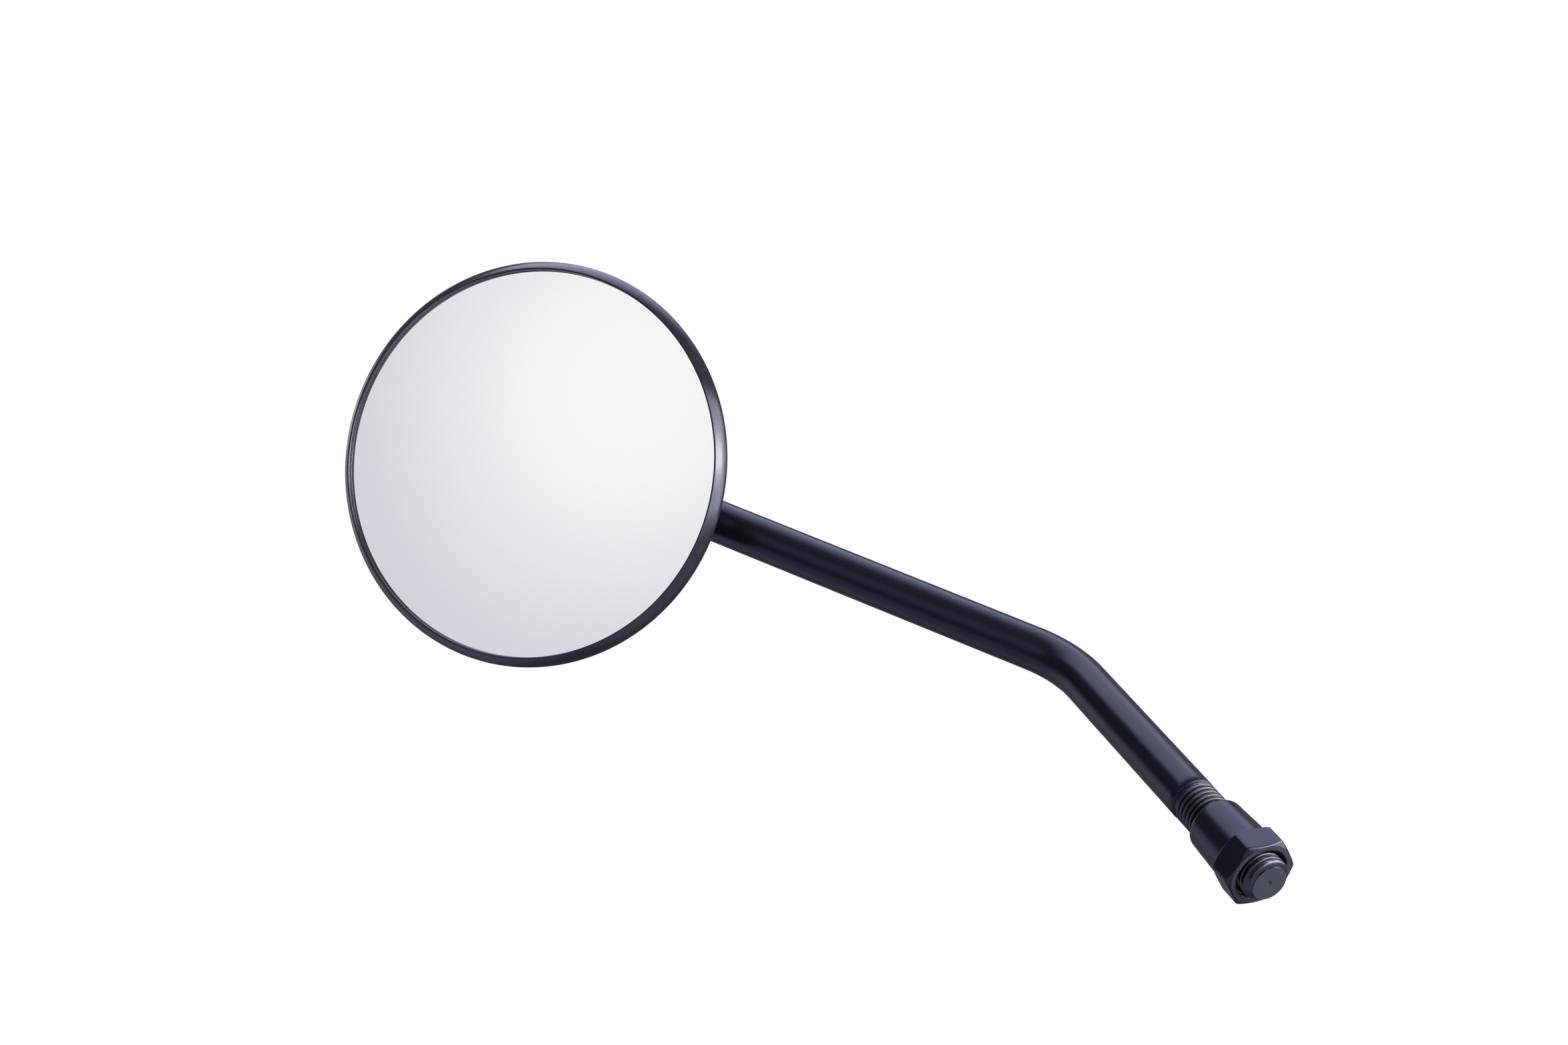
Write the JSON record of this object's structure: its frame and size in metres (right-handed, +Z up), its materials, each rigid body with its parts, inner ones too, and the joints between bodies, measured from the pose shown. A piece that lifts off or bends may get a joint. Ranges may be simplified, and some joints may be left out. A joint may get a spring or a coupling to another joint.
{
  "type": "motorcycle mirror",
  "caption": "Round convex motorcycle mirror on a bent round stem, with a ball joint behind the head and a threaded foot with a skirted lock nut.",
  "frame": {"origin": "centre of the lock nut's lower face, on the thread's axis", "axes": "+Z up along the threaded foot's axis, the stem bends in the XZ plane, the head lies towards -X"},
  "size_m": [0.1445, 0.0854, 0.2061],
  "materials": {
    "black_coat": "satin",
    "silvered_glass": "polished",
    "black_rubber": "matte",
    "foam": "matte",
    "nylon": "matte",
    "plain_steel": "satin"
  },
  "bodies": {
    "stem": {"stem": "black_coat"},
    "nut": {"lock_nut": "black_coat"},
    "seal": {"neck_seal": "black_rubber"},
    "seats": {"front_seat": "nylon", "rear_seat": "nylon", "clutch_spring": "plain_steel"},
    "head": {"housing": "black_coat", "rim_ring": "black_coat", "mirror_glass": "silvered_glass", "glass_gasket": "black_rubber", "backing_pad": "foam", "clamp_cup": "plain_steel", "rivets": "black_coat"}
  },
  "joints": [
    {"name": "nut_travel", "type": "slide", "parent": "stem", "child": "nut", "axis": [0, 0, 1], "range_m": [-0.0029, 0.0078]},
    {"name": "roll", "type": "hinge", "parent": "stem", "child": "seal", "pos_m": [-0.07296, 0, 0.16595], "axis": [0.6428, 0, -0.766], "continuous": true},
    {"name": "nod", "type": "hinge", "parent": "seal", "child": "seats", "pos_m": [-0.07296, 0, 0.16595], "axis": [0.343, -0.8942, 0.2878], "range_deg": [-13.65, 6.35]},
    {"name": "swing", "type": "hinge", "parent": "seats", "child": "head", "pos_m": [-0.07296, 0, 0.16595], "axis": [-0.6427, -0.4469, -0.6224], "range_deg": [-22.4, 3.6]}
  ]
}
